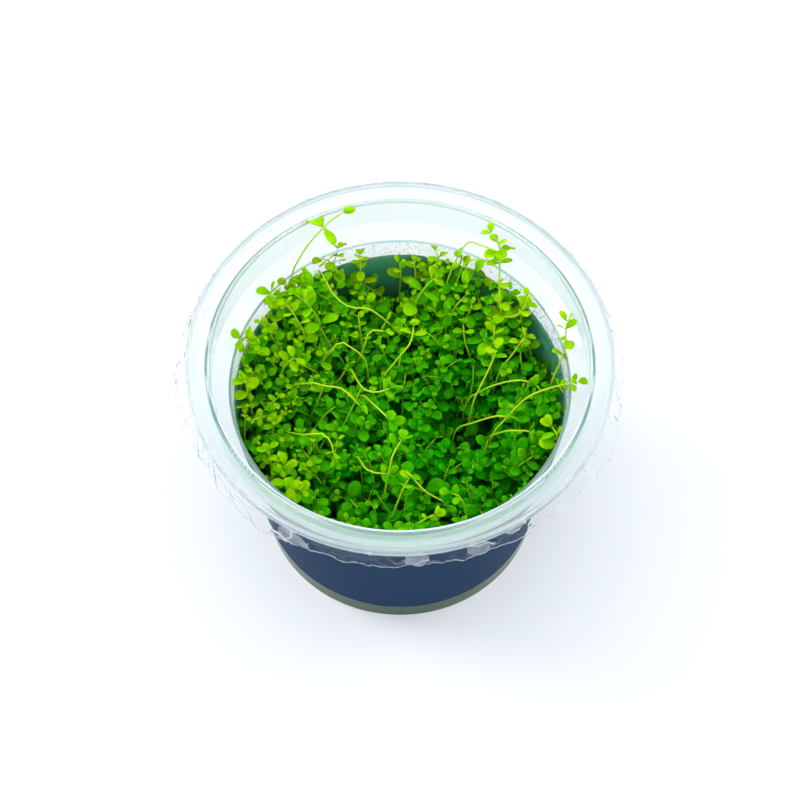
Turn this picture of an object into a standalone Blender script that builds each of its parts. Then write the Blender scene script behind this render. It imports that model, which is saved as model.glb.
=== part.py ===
# Tissue-culture cup of a small-leaved carpet plant: a clear stepped cup sealed with film,
# with a wrap-round label, a disc of culture gel and a carpet of plantlets.
# Metres, +Z up, origin at the centre of the cup's flat base.

import math
import random

import bpy
import bmesh
from mathutils import Vector

MM = 0.001
UP = Vector((0, 0, 1))

# All lengths below are in millimetres. The gap parts touching pieces.
GAP = 0.3
SEGMENTS = 48
SHARP_ANGLE = math.radians(35)
SPIN_MERGE = 0.01
UNION_MERGE = 0.001

# Cup
CUP_HEIGHT = 70.0
FLANGE_RADIUS = 50.5
FLANGE_THICK = 0.9
LIP_DROP = 2.0
LIP_THICK = 0.6
COLLAR_RADIUS = 44.9
MOUTH_RADIUS = 44.6
MOUTH_EDGE = 0.6
MOUTH_DEPTH = 0.9
SHOULDER_TOP = 61.0
LEDGE_RADIUS = 40.4
LEDGE_HEIGHT = 58.4
FLOOR_RADIUS = 34.1
FLOOR_HEIGHT = 2.2
FLOOR_EDGE = 1.2
FLOOR_THICK = 1.0
FOOT_RADIUS = FLOOR_RADIUS + 0.5
FOOT_BEAD = 0.6
FOOT_BEAD_HEIGHT = 0.5
WALL = 0.8
DRAFT = 0.1
BEND = 0.6

# Label and gel
LABEL_BOTTOM = 6.7
LABEL_TOP = 52.2
LABEL_THICK = 0.3
GEL_TOP = 10.0
GEL_SAG = 0.2

# Film: the torn edge is a sum of waves, each with its height, its count round the rim and its phase
FILM_THICK = 0.35
FILM_DROP = 4.6
FILM_INSET = 1.0
SKIRT_FLARE = 0.5
TEAR_WAVES = ((0.9, 3, 0.4), (0.8, 7, 1.9), (0.5, 13, 0.0))
FLARE_WAVES = ((-0.45, 2, 0.3 + math.pi / 2), (0.45, 5, 1.0))
SIDE_FLARE = 1.3
SIDE_START = 0.55

# Carpet, and the spaces of its plantlets
CARPET_HEIGHT = 42.0
CARPET_RADIUS = 38.0
EDGE_RISE = 5.0
UNEVEN = 1.2
WALL_CLEARANCE = 0.6
RING_COUNTS = (3, 7)
RING_RADII = (11.5, 28.5)
TURN_SCATTER = 0.14
REACH_SCATTER = 1.5
WALL_SIDES = 24
LONGEST_SIDE = 11.0
SEED = 7

# Body of a plantlet: its width at its foot and at full width, then levels from its top, as shares of its space
FOOT_SHARE = 0.9
WIDE_HEIGHT = 30.0
WIDE_SHARE = 0.98
TOP_LEVELS = ((-3.5, 0.98), (-0.6, 0.88), (0.8, 0.5))
CROWN_RISE = 1.6
TOP_LIFT = 1.1
TOP_PULL = 0.04

# Leaf pairs: a leaf's outline is given along and across it, as shares of its length and width
LEAF_LENGTH = 4.8
LEAF_WIDTH = 4.6
LEAF_THICK = 0.8
LEAF_MIDDLE = 0.55
LEAF_OUTLINE = ((0.42, 0.48), (0.88, 0.33), (0.88, -0.33), (0.42, -0.48))
WAIST_WIDTH = 1.5
TURNS = 12
PAIR_CLEARANCE = 1.0
PAIR_SHRINK = 0.85
SMALLEST_PAIR = 0.45

# Short shoots: sizes of their leaf pairs, how steeply the leaves rise, and where they stand
STEM_RADIUS = 0.5
STEM_SIDES = 3
SHOOTS = 8
PAIR_SIZES = (0.85, 1.1)
PAIR_LIFTS = (0.1, 0.3)
SHOOT_SHARES = (0.58, 0.72)
MIDDLE_SHARE = 0.04
MIDDLE_RISE = 4.2
RISE_STEP = 1.2
RISE_SCATTER = 0.3
STEM_SUNK = 9.0

# Long shoots that stand above the carpet: points along the stem, and the stem points that bear leaf pairs
TALL_SIZE = 0.62
TALL_LIFT = 0.25
ROOT_SHARE = 0.5
ROOT_SUNK = 5.0
TALL_SHOOTS = (
    (((-25.8, 29.0, 52), (-24.8, 30.6, 61), (-20.8, 34.8, 69), (-17.1, 37.6, 71.5), (-13.9, 39.2, 73)), (2, 4)),
    (((24.6, 24.0, 54), (24.5, 28.6, 60), (24.2, 32.1, 65), (22.3, 35.4, 70)), (1, 2, 3)),
    (((12.4, 31.0, 53), (15.0, 34.0, 60), (19.0, 33.4, 64.5)), (2,)),
    (((36.8, 7.2, 53), (38.9, 10.0, 62), (39.6, 12.6, 67)), (1, 2)),
    (((28.0, -4.0, 53), (34.0, -2.2, 58.5), (39.2, -2.1, 63)), (2,)),
    (((-33.6, 12.2, 54), (-35.4, 11.6, 60)), (0, 1)),
    (((-34.2, -5.4, 52), (-34.8, -1.8, 58)), (0, 1)),
    (((-20.0, 3.0, 53), (-14.1, -0.1, 56), (-8.3, -3.4, 54.5)), (2,)),
    (((-20.4, -11.5, 53), (-16.6, -13.6, 57), (-15.5, -18.5, 54.5)), (2,)),
    (((-17.0, 25.6, 53), (-11.0, 22.6, 57), (-4.5, 20.7, 54.5)), (2,)),
)


def clear_scene():
    for thing in list(bpy.data.objects):
        bpy.data.objects.remove(thing)


def material(name, colour, roughness, alpha=1.0):
    made = bpy.data.materials.new(name)
    made.use_nodes = True
    shader = made.node_tree.nodes["Principled BSDF"]
    shader.inputs["Base Color"].default_value = (*colour, 1.0)
    shader.inputs["Roughness"].default_value = roughness
    shader.inputs["Alpha"].default_value = alpha
    made.diffuse_color = (*colour, alpha)
    return made


def add_object(name, mesh, finish):
    thing = bpy.data.objects.new(name, mesh)
    bpy.context.scene.collection.objects.link(thing)
    mesh.materials.append(finish)
    return thing


def inner_wall_radius(height):
    """Radius of the cup's inside wall at a height below the ledge."""
    slope = (LEDGE_RADIUS - FLOOR_RADIUS) / (LEDGE_HEIGHT - FLOOR_HEIGHT)
    return FLOOR_RADIUS + slope * (height - FLOOR_HEIGHT)


def outer_wall_radius(height):
    return inner_wall_radius(height) + WALL


def turned(name, profile, finish, closed):
    """Spins a profile of (radius, height) points round +Z into one closed solid."""
    mesh = bpy.data.meshes.new(name)
    form = bmesh.new()
    points = [form.verts.new((radius * MM, 0, height * MM)) for radius, height in profile]
    edges = [form.edges.new(pair) for pair in zip(points, points[1:])]
    if closed:
        edges.append(form.edges.new((points[-1], points[0])))
    bmesh.ops.spin(form, geom=points + edges, axis=(0, 0, 1), cent=(0, 0, 0), steps=SEGMENTS,
                   angle=math.tau, use_merge=True)
    bmesh.ops.remove_doubles(form, verts=form.verts, dist=SPIN_MERGE * MM)
    bmesh.ops.recalc_face_normals(form, faces=form.faces)
    form.to_mesh(mesh)
    form.free()
    mesh.shade_smooth()
    mesh.set_sharp_from_angle(angle=SHARP_ANGLE)
    return add_object(name, mesh, finish)


def make_cup(finish):
    """The cup: a tapered wall, a ledge and shoulder, a straight collar, and a flange with a turned-down lip."""
    outside = [
        (0, 0),
        (FOOT_RADIUS, 0),
        (FOOT_RADIUS + FOOT_BEAD, FOOT_BEAD_HEIGHT),
        (FLOOR_RADIUS + WALL + DRAFT, FLOOR_HEIGHT + BEND),
        (outer_wall_radius(LEDGE_HEIGHT - BEND), LEDGE_HEIGHT - BEND),
        (COLLAR_RADIUS + WALL, SHOULDER_TOP - BEND),
        (COLLAR_RADIUS + WALL + 2 * DRAFT, CUP_HEIGHT - FLANGE_THICK),
        (FLANGE_RADIUS - LIP_THICK - DRAFT, CUP_HEIGHT - FLANGE_THICK),
        (FLANGE_RADIUS - LIP_THICK, CUP_HEIGHT - LIP_DROP),
        (FLANGE_RADIUS, CUP_HEIGHT - LIP_DROP),
        (FLANGE_RADIUS - DRAFT, CUP_HEIGHT),
    ]
    inside = [
        (COLLAR_RADIUS + MOUTH_EDGE, CUP_HEIGHT),
        (MOUTH_RADIUS, CUP_HEIGHT - MOUTH_DEPTH),
        (COLLAR_RADIUS, SHOULDER_TOP),
        (LEDGE_RADIUS, LEDGE_HEIGHT),
        (FLOOR_RADIUS, FLOOR_HEIGHT),
        (FLOOR_RADIUS - FLOOR_EDGE, FLOOR_THICK),
        (0, FLOOR_THICK),
    ]
    return turned("cup", outside + inside, finish, closed=False)


def make_label(finish):
    """The label that wraps the tapered wall."""
    low = outer_wall_radius(LABEL_BOTTOM) + GAP
    high = outer_wall_radius(LABEL_TOP) + GAP
    profile = [(low, LABEL_BOTTOM), (low + LABEL_THICK, LABEL_BOTTOM), (high + LABEL_THICK, LABEL_TOP),
               (high, LABEL_TOP)]
    return turned("label", profile, finish, closed=True)


def make_gel(finish):
    """The disc of gel that fills the bottom of the cup."""
    bottom = FLOOR_THICK + GAP
    profile = [(0, bottom), (FLOOR_RADIUS - FLOOR_EDGE - GAP, bottom), (FLOOR_RADIUS - GAP, FLOOR_HEIGHT + GAP),
               (inner_wall_radius(GEL_TOP) - GAP, GEL_TOP), (0, GEL_TOP - GEL_SAG)]
    return turned("culture_gel", profile, finish, closed=False)


def waves(angle, parts):
    return sum(height * math.sin(count * angle + phase) for height, count, phase in parts)


def torn_edge(angle):
    """How far the film's torn edge hangs below or above its mean line, and how far it flares, in mm."""
    sides = SIDE_FLARE * max(0.0, abs(math.cos(angle)) - SIDE_START) / (1 - SIDE_START)
    return waves(angle, TEAR_WAVES), max(0.0, waves(angle, FLARE_WAVES)) + sides


def make_film(finish):
    """The peeled film that stays welded to the flange, with a skirt that hangs over its edge."""
    top = CUP_HEIGHT + GAP + FILM_THICK
    start = COLLAR_RADIUS + FILM_INSET
    edge = FLANGE_RADIUS + GAP
    fold = top - FILM_DROP / 2
    hem = top - FILM_DROP
    profile = [
        (start, top - FILM_THICK),
        (edge, top - FILM_THICK),
        (edge + SKIRT_FLARE / 2, fold),
        (edge + SKIRT_FLARE, hem),
        (edge + SKIRT_FLARE + FILM_THICK, hem),
        (edge + SKIRT_FLARE / 2 + FILM_THICK, fold),
        (edge + FILM_THICK, top),
        (start, top),
    ]
    film = turned("seal_film", profile, finish, closed=True)
    for vertex in film.data.vertices:
        hanging = (top - vertex.co.z / MM) / FILM_DROP
        at_fold = 0.4 < hanging < 0.6
        at_hem = hanging > 0.9
        if at_fold or at_hem:
            hang, flare = torn_edge(math.atan2(vertex.co.y, vertex.co.x))
            radius = math.hypot(vertex.co.x, vertex.co.y)
            stretch = (radius + flare * hanging * MM) / radius
            vertex.co.x *= stretch
            vertex.co.y *= stretch
            if at_hem:
                vertex.co.z += hang * MM
    return film


def plantlet_seeds(chance):
    """Where each plantlet stands on the gel, on two rings with a little scatter."""
    seeds = []
    for count, radius in zip(RING_COUNTS, RING_RADII):
        start = chance.uniform(0, math.tau)
        for n in range(count):
            angle = start + math.tau * (n + chance.uniform(-TURN_SCATTER, TURN_SCATTER)) / count
            reach = radius + chance.uniform(-REACH_SCATTER, REACH_SCATTER)
            seeds.append(Vector((reach * math.cos(angle), reach * math.sin(angle))))
    return seeds


def carpet_edge():
    """Radius of the carpet at the reference height."""
    return inner_wall_radius(CARPET_HEIGHT) - WALL_CLEARANCE


def spread(height):
    """How wide the carpet is at a height, as a share of its width at the reference height."""
    return (inner_wall_radius(height) - WALL_CLEARANCE) / carpet_edge()


def cell_limits(seed, seeds):
    """The straight sides round one plantlet: each is a normal and the furthest distance along it."""
    limits = []
    for other in seeds:
        if other is seed:
            continue
        normal = (other - seed).normalized()
        limits.append((normal, normal.dot((seed + other) / 2) - GAP / 2))
    return limits


def room(point, height, limits):
    """How far a point at a height is inside its plantlet's own space, in mm."""
    flat = Vector((point[0], point[1])) / spread(height)
    return min([carpet_edge() - flat.length] + [limit - normal.dot(flat) for normal, limit in limits])


def reach_along(seed, direction, limits):
    """Distance from the seed to the edge of its space in one direction."""
    along = seed.dot(direction)
    best = -along + math.sqrt(along * along + carpet_edge() ** 2 - seed.length_squared)
    for normal, limit in limits:
        slope = normal.dot(direction)
        if slope > 0:
            best = min(best, (limit - normal.dot(seed)) / slope)
    return best


def canopy_height(point, tilt):
    return CARPET_HEIGHT + EDGE_RISE * (point.length / CARPET_RADIUS) ** 2 + tilt


def clipped(outline, normal, limit):
    """The part of a convex outline that lies within a limit along a normal."""
    kept = []
    for first, second in zip(outline, outline[1:] + outline[:1]):
        before = normal.dot(first) - limit
        after = normal.dot(second) - limit
        if before <= 0:
            kept.append(first)
        if before * after < 0:
            kept.append(first.lerp(second, before / (before - after)))
    return kept


def cell_outline(limits):
    """The corners of one plantlet's space, with long sides split in two."""
    turns = [math.tau * n / WALL_SIDES for n in range(WALL_SIDES)]
    outline = [Vector((math.cos(turn), math.sin(turn))) * carpet_edge() for turn in turns]
    for normal, limit in limits:
        outline = clipped(outline, normal, limit)
    corners = []
    for first, second in zip(outline, outline[1:] + outline[:1]):
        corners.append(first)
        if (second - first).length > LONGEST_SIDE:
            corners.append((first + second) / 2)
    return corners


def add_core(form, seed, limits, top, chance):
    """The dense body of stems and small leaves, from the gel up to a low, uneven top."""
    levels = [(GEL_TOP + GAP, FOOT_SHARE), (WIDE_HEIGHT, WIDE_SHARE)]
    levels += [(top + rise, share) for rise, share in TOP_LEVELS]
    corners = cell_outline(limits)
    count = len(corners)
    rings = []
    for height, share in levels:
        ring = []
        for corner in corners:
            upper = height > WIDE_HEIGHT
            lift = chance.uniform(-TOP_LIFT, TOP_LIFT) if upper else 0.0
            pull = chance.uniform(1 - TOP_PULL, 1.0) if upper else 1.0
            flat = (seed + (corner - seed) * share * pull) * spread(height)
            ring.append(form.verts.new((flat.x * MM, flat.y * MM, (height + lift) * MM)))
        rings.append(ring)
    for low, high in zip(rings, rings[1:]):
        for n in range(count):
            m = (n + 1) % count
            form.faces.new((low[n], low[m], high[m], high[n]))
    form.faces.new(list(reversed(rings[0])))
    crown = form.verts.new((seed.x * MM, seed.y * MM, (top + CROWN_RISE) * MM))
    for n in range(count):
        form.faces.new((rings[-1][n], rings[-1][(n + 1) % count], crown))


def add_stem(form, points, radius, turn=0.0):
    """A three-sided stem through its points."""
    rings = []
    side = Vector((math.cos(turn), math.sin(turn), 0))
    for n, point in enumerate(points):
        before = points[max(n - 1, 0)]
        after = points[min(n + 1, len(points) - 1)]
        along = (after - before).normalized()
        side = (side - along * side.dot(along)).normalized()
        other = along.cross(side)
        ring = []
        for k in range(STEM_SIDES):
            angle = math.tau * k / STEM_SIDES
            ring.append(form.verts.new((point + (side * math.cos(angle) + other * math.sin(angle)) * radius) * MM))
        rings.append(ring)
    for low, high in zip(rings, rings[1:]):
        for n in range(STEM_SIDES):
            m = (n + 1) % STEM_SIDES
            form.faces.new((low[n], low[m], high[m], high[n]))
    form.faces.new(list(reversed(rings[0])))
    form.faces.new(rings[-1])


def add_leaf_pair(form, point, turn, lift, size):
    """Two opposite round leaves, thin lenses that narrow to a waist inside the stem."""
    flat = Vector((math.cos(turn), math.sin(turn), 0))
    side = UP.cross(flat)
    waist = [form.verts.new((point + side * across) * MM) for across in (WAIST_WIDTH / 2, -WAIST_WIDTH / 2)]
    centres = []
    for sign in (1, -1):
        outward = flat * sign * math.cos(lift) + UP * math.sin(lift)
        root = point - UP * math.sin(lift) * LEAF_MIDDLE * LEAF_LENGTH * size
        normal = UP * math.cos(lift) - flat * sign * math.sin(lift)
        rim = [waist[0]]
        for along, across in LEAF_OUTLINE:
            spot = root + outward * along * LEAF_LENGTH * size + side * across * LEAF_WIDTH * size
            rim.append(form.verts.new(spot * MM))
        rim.append(waist[1])
        middle = root + outward * LEAF_MIDDLE * LEAF_LENGTH * size
        over = form.verts.new((middle + normal * LEAF_THICK / 2) * MM)
        under = form.verts.new((middle - normal * LEAF_THICK / 2) * MM)
        for first, second in zip(rim, rim[1:]):
            form.faces.new((first, over, second))
            form.faces.new((second, under, first))
        centres.append((over, under))
    (over_a, under_a), (over_b, under_b) = centres
    form.faces.new((waist[0], over_b, over_a))
    form.faces.new((waist[1], over_a, over_b))
    form.faces.new((waist[0], under_a, under_b))
    form.faces.new((waist[1], under_b, under_a))


def best_turn(point, limits, size):
    """The turn of a leaf pair that keeps both tips furthest inside the plantlet's own space."""
    reach = LEAF_LENGTH * size

    def tightest(turn):
        tips = [point + Vector((math.cos(turn + half), math.sin(turn + half), 0)) * reach for half in (0, math.pi)]
        return min(room(tip, point.z, limits) for tip in tips)

    turn = max((math.pi * n / TURNS for n in range(TURNS)), key=tightest)
    return turn, tightest(turn)


def fitted_pair(form, point, limits, size, lift):
    """A leaf pair turned and, where it must be, made smaller to stay in the plantlet's own space."""
    turn, clearance = best_turn(point, limits, size)
    while clearance < PAIR_CLEARANCE and size > SMALLEST_PAIR:
        size *= PAIR_SHRINK
        turn, clearance = best_turn(point, limits, size)
    add_leaf_pair(form, point, turn, lift, size)
    return turn


def add_short_shoots(form, seed, limits, top, chance):
    """Upright shoots that rise out of the body, each to a leaf pair at its own height."""
    start = chance.uniform(0, math.tau)
    for n in range(SHOOTS):
        angle = start + math.tau * n / (SHOOTS - 1)
        direction = Vector((math.cos(angle), math.sin(angle)))
        middle = n == SHOOTS - 1
        share = MIDDLE_SHARE if middle else chance.uniform(*SHOOT_SHARES)
        spot = seed + direction * reach_along(seed, direction, limits) * share
        rise = MIDDLE_RISE if middle else RISE_STEP * (1 + n % 3)
        node = Vector((spot.x, spot.y, top + rise + chance.uniform(-RISE_SCATTER, RISE_SCATTER)))
        turn = fitted_pair(form, node, limits, chance.uniform(*PAIR_SIZES), chance.uniform(*PAIR_LIFTS))
        add_stem(form, [node - UP * STEM_SUNK, node], STEM_RADIUS, turn)


def add_tall_shoot(form, seed, limits, top, points, bearing):
    """A long shoot that stands above the carpet, rooted in its plantlet, with leaf pairs at some points."""
    first = Vector(points[0])
    away = Vector((first.x, first.y)) - seed
    root = seed + away.normalized() * min(away.length, reach_along(seed, away.normalized(), limits) * ROOT_SHARE)
    stem = [Vector((root.x, root.y, top - ROOT_SUNK))] + [Vector(point) for point in points]
    add_stem(form, stem, STEM_RADIUS)
    for n in bearing:
        along = (stem[n + 1] - stem[n]).normalized()
        turn = math.atan2(along.y, along.x) + math.pi / 2
        add_leaf_pair(form, stem[n + 1], turn, TALL_LIFT, TALL_SIZE)


def tidy_union(mesh):
    """Triangles only, with no slivers and no two faces back to back on the same corners."""
    form = bmesh.new()
    form.from_mesh(mesh)
    bmesh.ops.remove_doubles(form, verts=form.verts, dist=UNION_MERGE * MM)
    bmesh.ops.dissolve_degenerate(form, edges=form.edges, dist=UNION_MERGE * MM)
    bmesh.ops.triangulate(form, faces=form.faces)
    by_corners = {}
    for face in form.faces:
        by_corners.setdefault(frozenset(corner.index for corner in face.verts), []).append(face)
    doubled = [face for faces in by_corners.values() if len(faces) > 1 for face in faces]
    bmesh.ops.delete(form, geom=doubled, context="FACES")
    form.to_mesh(mesh)
    form.free()


def united(name, core, extras, finish):
    """One solid from the body and its shoots, by a Boolean union."""
    meshes = []
    for form in (core, extras):
        bmesh.ops.recalc_face_normals(form, faces=form.faces)
        mesh = bpy.data.meshes.new(name)
        form.to_mesh(mesh)
        form.free()
        meshes.append(mesh)
    body = add_object(name, meshes[0], finish)
    shoots = add_object(name + "_shoots", meshes[1], finish)
    union = body.modifiers.new("shoots", "BOOLEAN")
    union.operation = "UNION"
    union.object = shoots
    union.use_self = True
    view = bpy.context.evaluated_depsgraph_get()
    joined = bpy.data.meshes.new_from_object(body.evaluated_get(view))
    body.modifiers.clear()
    body.data = joined
    bpy.data.objects.remove(shoots)
    tidy_union(joined)
    return body


def make_plantlets(finish):
    """The plantlets of the carpet, each one solid in its own space."""
    chance = random.Random(SEED)
    seeds = plantlet_seeds(chance)
    owners = [min(range(len(seeds)), key=lambda k: (seeds[k] - Vector(points[0][:2])).length)
              for points, _ in TALL_SHOOTS]
    for number, seed in enumerate(seeds):
        limits = cell_limits(seed, seeds)
        top = canopy_height(seed, chance.uniform(-UNEVEN, UNEVEN))
        core = bmesh.new()
        extras = bmesh.new()
        add_core(core, seed, limits, top, chance)
        add_short_shoots(extras, seed, limits, top, chance)
        for owner, (points, bearing) in zip(owners, TALL_SHOOTS):
            if owner == number:
                add_tall_shoot(extras, seed, limits, top, points, bearing)
        united("plantlet_%02d" % (number + 1), core, extras, finish)


def build():
    clear_scene()
    make_cup(material("clear_plastic", (0.74, 0.9, 0.86), 0.1, alpha=0.3))
    make_label(material("label_film", (0.035, 0.07, 0.15), 0.5))
    make_gel(material("gel", (0.16, 0.2, 0.12), 0.25))
    make_film(material("seal_film", (0.82, 0.9, 0.93), 0.15, alpha=0.35))
    make_plantlets(material("leaf_green", (0.07, 0.3, 0.008), 0.5))


build()
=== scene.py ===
"""A tissue-culture cup of carpet plant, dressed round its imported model: a clear stepped cup with a bare wrap
label, a disc of gel, a torn sealing film, and a mat of small round leaves on thin stems."""

import math
import random

import bpy
import numpy as np
from bpy.props import FloatProperty, FloatVectorProperty, IntProperty, PointerProperty
from bpy.types import Operator, Panel, PropertyGroup
from mathutils import Matrix, Vector, noise


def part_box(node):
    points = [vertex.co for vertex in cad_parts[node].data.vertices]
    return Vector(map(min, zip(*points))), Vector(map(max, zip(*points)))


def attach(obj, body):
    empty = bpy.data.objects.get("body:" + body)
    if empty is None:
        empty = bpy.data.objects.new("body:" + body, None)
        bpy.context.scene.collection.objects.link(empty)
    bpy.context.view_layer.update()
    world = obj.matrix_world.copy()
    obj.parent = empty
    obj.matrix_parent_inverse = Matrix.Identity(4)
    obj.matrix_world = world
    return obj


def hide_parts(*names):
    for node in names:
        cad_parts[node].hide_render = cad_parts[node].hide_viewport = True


bl_info = {
    "name": "Carpet Plant Cup",
    "version": (1, 0, 0),
    "blender": (4, 5, 0),
    "location": "View3D > Sidebar > Carpet Plant",
    "description": "Builds a clear culture cup full of a small-leaved carpet plant",
    "category": "Object",
}

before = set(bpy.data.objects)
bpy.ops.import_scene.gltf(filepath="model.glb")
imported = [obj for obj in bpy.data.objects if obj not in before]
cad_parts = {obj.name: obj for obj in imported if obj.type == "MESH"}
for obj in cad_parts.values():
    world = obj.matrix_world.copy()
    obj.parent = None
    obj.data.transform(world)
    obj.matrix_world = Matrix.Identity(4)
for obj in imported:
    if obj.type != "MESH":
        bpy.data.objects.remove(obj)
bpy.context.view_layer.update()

MM = 0.001
BODY = "root"
_, CUP_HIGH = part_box("cup")
LABEL_LOW, LABEL_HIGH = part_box("label")
_, GEL_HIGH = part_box("culture_gel")
PLANTLETS = sorted(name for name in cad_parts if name.startswith("plantlet_"))

# Corners in a ring of each turned piece and of a stem, steps that carry the label round and over its lap, and
# rows of faces down the film's skirt
CUP_SEGMENTS = 192
GEL_SEGMENTS = 128
FILM_SEGMENTS = 540
STEM_SIDES = 5
LABEL_STEPS = 206
FILM_ROWS = 12
# How far below the flange's top the mouth's rounded edge ends
MOUTH_ROUND = 0.9 * MM
# Material slots of the cup, the label, the film and a plantlet
WALL, RIM, LIP, LEDGE, MOUTH = range(5)
OUTSIDE, INSIDE = range(2)
# The film's third slot is painted glint: whitened fold crests where the crumples catch the light
CLEAR, WHITENED, PAINTED_GLINT = range(3)
LEAF, STEM = range(2)
# Condensation: its own seed, and the middle and spread of its drops round the cup, in degrees
DROP_SEED = 5
DROPS_MIDDLE = 55
DROPS_SPREAD = 50


def linear(code):
    """A colour written as an sRGB hex value, as linear red, green and blue."""
    shares = [int(code[n:n + 2], 16) / 255 for n in (1, 3, 5)]
    return tuple(c / 12.92 if c <= 0.04045 else ((c + 0.055) / 1.055) ** 2.4 for c in shares)


def length(name, millimetres, description):
    """A length that a user may change, given in millimetres."""
    return FloatProperty(name=name, description=description, default=millimetres * MM, unit="LENGTH",
                         precision=5)


def colour(name, code, description):
    """A colour that a user may change, given as an sRGB hex value."""
    return FloatVectorProperty(name=name, description=description, default=linear(code), subtype="COLOR",
                               size=3, min=0, max=1)


def brightness(name, amount, description, unit="NONE"):
    """How bright a light is: a plain strength, or watts where the unit is power."""
    return FloatProperty(name=name, description=description, default=amount, min=0, unit=unit)


class CarpetCupSettings(PropertyGroup):
    """The cup, its label and its gel."""

    wall: length("Wall", 0.8, "Thickness of the moulded wall")
    floor: length("Floor", 1.0, "Thickness of the cup's floor")
    floor_radius: length("Floor radius", 34.1, "Inside radius at the foot of the tapered wall")
    floor_height: length("Floor rounding", 2.2, "Height of the rounding between floor and wall")
    ledge_radius: length("Ledge radius", 40.4, "Inside radius at the top of the tapered wall")
    ledge_height: length("Ledge height", 58.4, "Height of the ledge's inner edge")
    shoulder_height: length("Shoulder height", 61.0, "Height where the shoulder meets the collar")
    collar_radius: length("Collar radius", 44.9, "Inside radius of the straight collar")
    mouth_radius: length("Mouth radius", 44.6, "Inside radius just under the mouth's rounded edge")
    flange: length("Flange", 0.9, "Thickness of the sealing flange")
    lip: length("Lip", 2.0, "How far the flange's edge turns down")
    plastic: colour("Plastic", "#FCFEFE", "Tint of the clear wall")
    rim_plastic: colour("Rim plastic", "#FCFCFC", "Tint of the thicker, milkier rim")
    edge_plastic: colour("Edge plastic", "#F6FAFB", "Tint of the mouth's and the flange's milky edges")
    ledge_plastic: colour("Ledge plastic", "#D2EEEA", "Tint that gathers where the wall folds into the ledge")
    # Painted light: mint standing in for the label and the plants seen through the milky rim
    painted_mint_haze: colour("Haze", "#88F4E4", "Mint light that the milk in the plastic throws back")
    label_outside: colour("Label outside", "#052E50", "Printed side of the label")
    label_inside: colour("Label inside", "#58D4A8", "Back of the label, seen through the wall")
    gel: colour("Gel", "#2A6A2A", "Culture gel")
    droplets: IntProperty(name="Droplets", description="Drops of condensation on the clear wall",
                          default=2000, min=0)


class CarpetFilmSettings(PropertyGroup):
    """The torn sealing film."""

    thickness: length("Film", 0.09, "Thickness of the film")
    weld_radius: length("Weld radius", 47.6, "Where the welded ring of film begins on the flange")
    drop: length("Skirt drop", 5.6, "How far the torn skirt hangs below the flange")
    crumple: length("Crumple", 0.6, "Depth of the film's creases")
    tint: colour("Film tint", "#FBFDFE", "Tint of the clear film")
    # The whitened creases are painted glints where the crumpled skirt catches the light
    weld_and_glint_tint: colour("Weld tint", "#FBFEFE", "Tint of the weld, the torn edge and the whitened creases")


class CarpetPlantSettings(PropertyGroup):
    """The plants."""

    leaf_length: length("Leaf length", 4.1, "Length of a full-grown leaf")
    leaf_width: length("Leaf width", 3.4, "Width of a full-grown leaf")
    leaf_thickness: length("Leaf thickness", 0.16, "Thickness of a leaf")
    stem: length("Stem", 0.22, "Radius of a stem")
    spacing: length("Spacing", 2.75, "Least distance between two shoots' tips")
    canopy: length("Canopy", 46.0, "Height of the carpet at its middle")
    # Leaves far from the carpet's heart take this colour partly as painted light
    fresh: colour("Fresh leaf", "#98DA00", "Youngest leaves, over the rim and far from the carpet's heart")
    young: colour("Young leaf", "#80D600", "Leaves at the carpet's tips")
    grown: colour("Grown leaf", "#4AB600", "Leaves in the carpet's top")
    old: colour("Old leaf", "#169E00", "Leaves deep in the carpet")
    stems: colour("Stems", "#C2E226", "Stems")
    seed: IntProperty(name="Seed", description="Another number grows another carpet", default=11, min=0)


class CarpetStageSettings(PropertyGroup):
    """The floor, the light and the camera."""

    floor: colour("Floor", "#EFF1F5", "Pale studio floor")
    glow: brightness("Floor glow", 0.13, "Strength of the light table under the floor")
    sky: brightness("Sky", 1.02, "Strength of the even light from all round")
    key: brightness("Key light", 7.0, "Power of the soft light on the left", "POWER")
    fill: brightness("Fill light", 3.5, "Power of the soft light on the right", "POWER")


def cup_settings():
    return bpy.context.scene.carpet_cup


def wall_inside(height):
    """Inside radius of the cup at a height, in metres."""
    cup = cup_settings()
    heights = (cup.floor_height, cup.ledge_height, cup.shoulder_height, CUP_HIGH.z - MOUTH_ROUND)
    radii = (cup.floor_radius, cup.ledge_radius, cup.collar_radius, cup.mouth_radius)
    return np.interp(height, heights, radii)


def wall_outside(height):
    return wall_inside(height) + cup_settings().wall


def deselect_all():
    if bpy.context.object and bpy.context.object.mode != "OBJECT":
        bpy.ops.object.mode_set(mode="OBJECT")
    bpy.ops.object.select_all(action="DESELECT")


def turned_piece(name, profile, segments, capped=True):
    """A round piece drawn up ring by ring from a circle, through (radius, height) points in metres. A capped
    piece starts and ends on a disc; any other is a sheet, left open at both edges."""
    deselect_all()
    radius, height = profile[0]
    bpy.ops.mesh.primitive_circle_add(vertices=segments, radius=radius, location=(0, 0, height),
                                      fill_type="NGON" if capped else "NOTHING")
    piece = bpy.context.object
    piece.name = piece.data.name = name
    bpy.ops.object.transform_apply(location=True, rotation=True, scale=True)
    bpy.ops.object.mode_set(mode="EDIT")
    bpy.ops.mesh.select_mode(type="EDGE")
    bpy.ops.mesh.select_all(action="SELECT")
    for (low_radius, low), (high_radius, high) in zip(profile, profile[1:]):
        bpy.ops.mesh.extrude_edges_move(TRANSFORM_OT_translate={"value": (0, 0, high - low)})
        growth = high_radius / low_radius
        bpy.ops.transform.resize(value=(growth, growth, 1), center_override=(0, 0, 0))
    if capped:
        bpy.ops.mesh.edge_face_add()
    bpy.ops.mesh.select_all(action="SELECT")
    bpy.ops.mesh.normals_make_consistent(inside=False)
    bpy.ops.object.mode_set(mode="OBJECT")
    return piece


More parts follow.
